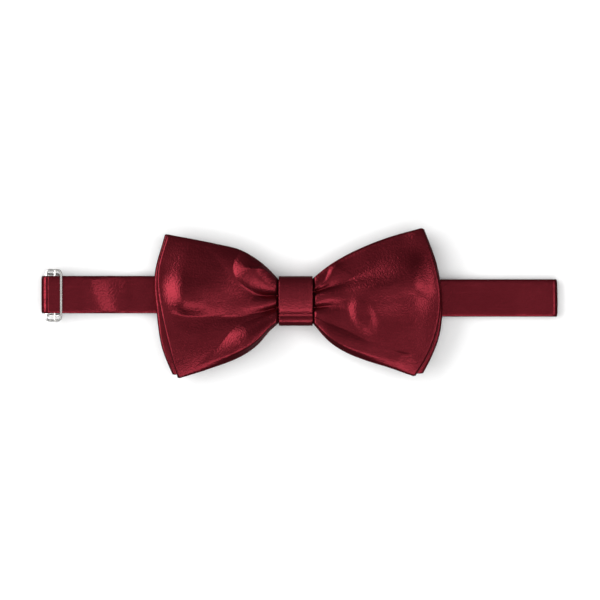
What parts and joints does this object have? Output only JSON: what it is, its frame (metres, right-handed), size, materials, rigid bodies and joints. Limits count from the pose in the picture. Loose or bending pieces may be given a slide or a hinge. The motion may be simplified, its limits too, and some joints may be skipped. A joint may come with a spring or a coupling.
{
  "type": "pre-tied bow tie",
  "caption": "Pre-tied satin bow tie lying flat on its neck band, with a slide adjuster and a hook and eye behind the left end.",
  "frame": {"origin": "middle of the tie's outline, on the surface that its neck band lies on", "axes": "+X along the neck band, towards the plain folded end; +Y towards the wearer's head; +Z out of the front of the bow"},
  "size_m": [0.2154, 0.0625, 0.0174],
  "materials": {
    "bow_satin": "burgundy satin, soft broad sheen",
    "knot_satin": "burgundy satin, soft broad sheen",
    "band_satin": "burgundy satin",
    "interlining": "matt woven interlining",
    "sewing_thread": "spun thread",
    "nickel": "bright nickel plate"
  },
  "bodies": {
    "band": {"neck_band_satin": "band_satin", "neck_band_interlining": "interlining", "eye_bar_tack": "sewing_thread"},
    "bow": {"front_bow_satin": "bow_satin", "front_bow_interlining": "interlining", "rear_bow_satin": "bow_satin", "rear_bow_interlining": "interlining", "waist_thread": "sewing_thread", "knot_wrap": "knot_satin", "knot_interlining": "interlining", "knot_back_stitches": "sewing_thread"},
    "adjuster": {"slide_adjuster": "nickel", "tail_end_loop": "band_satin", "tail_bar_tack": "sewing_thread"},
    "hook": {"hook": "nickel"},
    "eye": {"eye": "nickel"}
  },
  "joints": [
    {"name": "bow_slide", "type": "slide", "parent": "band", "child": "bow", "axis": [1, 0, 0], "range_m": [-0.012, 0.02]},
    {"name": "adjuster_slide", "type": "slide", "parent": "band", "child": "adjuster", "axis": [1, 0, 0], "range_m": [0, 0.013]},
    {"name": "hook_swing", "type": "hinge", "parent": "band", "child": "hook", "pos_m": [-0.1054, 0.0035, 0.00415], "axis": [0, 1, 0], "range_deg": [0, 95]},
    {"name": "eye_swing", "type": "hinge", "parent": "band", "child": "eye", "pos_m": [-0.0856, 0.0035, 0.00165], "axis": [0, 1, 0], "range_deg": [-2, 3]}
  ]
}
